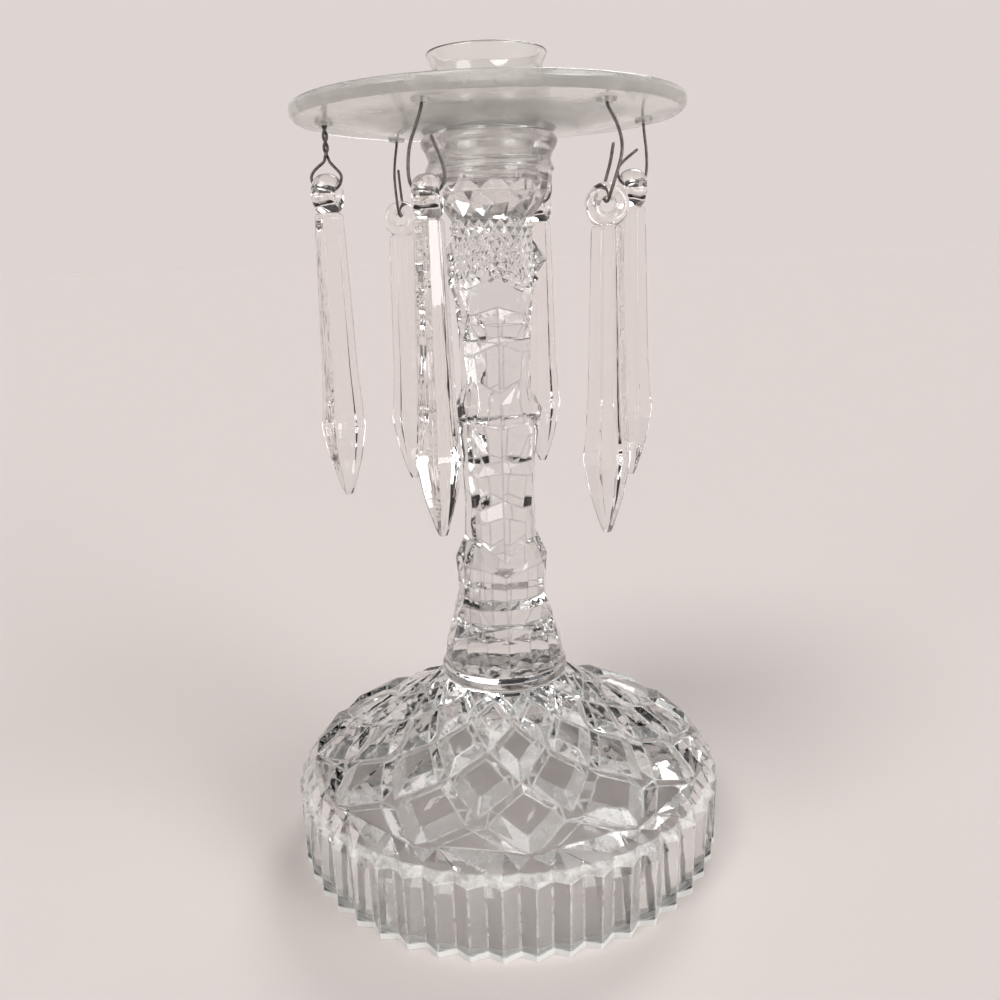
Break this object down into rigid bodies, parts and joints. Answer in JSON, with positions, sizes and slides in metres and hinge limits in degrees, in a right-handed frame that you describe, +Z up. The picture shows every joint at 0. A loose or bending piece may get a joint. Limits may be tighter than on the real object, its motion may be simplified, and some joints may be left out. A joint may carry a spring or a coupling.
{
  "type": "candlestick with prisms",
  "caption": "Pressed glass candlestick with a fluted dome foot, faceted stem and a loose drip pan that turns, hung with glass prisms on wire hooks.",
  "frame": {"origin": "middle of the foot ring's underside, on the surface that the candlestick stands on", "axes": "+Z up along the stem to the candle tube, +Y away from the viewer of the picture, +X to the viewer's right"},
  "size_m": [0.1244, 0.1244, 0.2187],
  "materials": {
    "clear_glass": "clear pressed glass with sharp cut edges",
    "tinted_glass": "clear glass with a faint grey-green tint",
    "prism_glass": "clear polished glass",
    "hook_wire": "dull dark wire"
  },
  "bodies": {
    "base": {"foot": "clear_glass", "stem": "clear_glass"},
    "pan": {"drip_pan": "tinted_glass"},
    "hanger_front_left": {"hook_front_left": "hook_wire"},
    "hanger_front_right": {"hook_front_right": "hook_wire"},
    "hanger_right": {"hook_right": "hook_wire"},
    "hanger_back_right": {"hook_back_right": "hook_wire"},
    "hanger_back_left": {"hook_back_left": "hook_wire"},
    "hanger_left": {"hook_left": "hook_wire"},
    "pendant_front_left": {"prism_front_left": "prism_glass"},
    "pendant_front_right": {"prism_front_right": "prism_glass"},
    "pendant_right": {"prism_right": "prism_glass"},
    "pendant_back_right": {"prism_back_right": "prism_glass"},
    "pendant_back_left": {"prism_back_left": "prism_glass"},
    "pendant_left": {"prism_left": "prism_glass"}
  },
  "joints": [
    {"name": "pan_spin", "type": "hinge", "parent": "base", "child": "pan", "pos_m": [0, 0, 0.199], "axis": [0, 0, 1], "continuous": true},
    {"name": "hook_swing_front_left", "type": "hinge", "parent": "pan", "child": "hanger_front_left", "pos_m": [-0.01423, -0.03888, 0.20623], "axis": [-0.9976, 0.0698, 0], "range_deg": [-5, 9]},
    {"name": "prism_swing_front_left", "type": "hinge", "parent": "hanger_front_left", "child": "pendant_front_left", "pos_m": [-0.01393, -0.0389, 0.1831], "axis": [-0.9976, 0.0698, 0], "range_deg": [-8, 28]},
    {"name": "hook_swing_front_right", "type": "hinge", "parent": "pan", "child": "hanger_front_right", "pos_m": [0.02656, -0.03176, 0.20623], "axis": [0.1219, -0.9925, 0], "range_deg": [-6, 9]},
    {"name": "prism_swing_front_right", "type": "hinge", "parent": "hanger_front_right", "child": "pendant_front_right", "pos_m": [0.02656, -0.03176, 0.1807], "axis": [0.1219, -0.9925, 0], "range_deg": [-8, 20]},
    {"name": "hook_swing_right", "type": "hinge", "parent": "pan", "child": "hanger_right", "pos_m": [0.04078, 0.00712, 0.20623], "axis": [0.9877, 0.1564, 0], "range_deg": [-6, 6]},
    {"name": "prism_swing_right", "type": "hinge", "parent": "hanger_right", "child": "pendant_right", "pos_m": [0.03782, 0.00665, 0.1863], "axis": [0.9877, 0.1564, 0], "range_deg": [-12, 12]},
    {"name": "hook_swing_back_right", "type": "hinge", "parent": "pan", "child": "hanger_back_right", "pos_m": [0.01423, 0.03888, 0.20623], "axis": [0.9397, -0.342, 0], "range_deg": [-5, 9]},
    {"name": "prism_swing_back_right", "type": "hinge", "parent": "hanger_back_right", "child": "pendant_back_right", "pos_m": [0.01423, 0.03888, 0.1841], "axis": [0.9397, -0.342, 0], "range_deg": [-8, 28]},
    {"name": "hook_swing_back_left", "type": "hinge", "parent": "pan", "child": "hanger_back_left", "pos_m": [-0.02656, 0.03176, 0.20623], "axis": [0.0872, 0.9962, 0], "range_deg": [-6, 9]},
    {"name": "prism_swing_back_left", "type": "hinge", "parent": "hanger_back_left", "child": "pendant_back_left", "pos_m": [-0.02656, 0.03176, 0.1813], "axis": [0.0872, 0.9962, 0], "range_deg": [-8, 20]},
    {"name": "hook_swing_left", "type": "hinge", "parent": "pan", "child": "hanger_left", "pos_m": [-0.04078, -0.00712, 0.20623], "axis": [-0.9848, 0.1736, 0], "range_deg": [-5, 5]},
    {"name": "prism_swing_left", "type": "hinge", "parent": "hanger_left", "child": "pendant_left", "pos_m": [-0.04118, -0.00705, 0.1863], "axis": [-0.9848, 0.1736, 0], "range_deg": [-12, 12]}
  ]
}
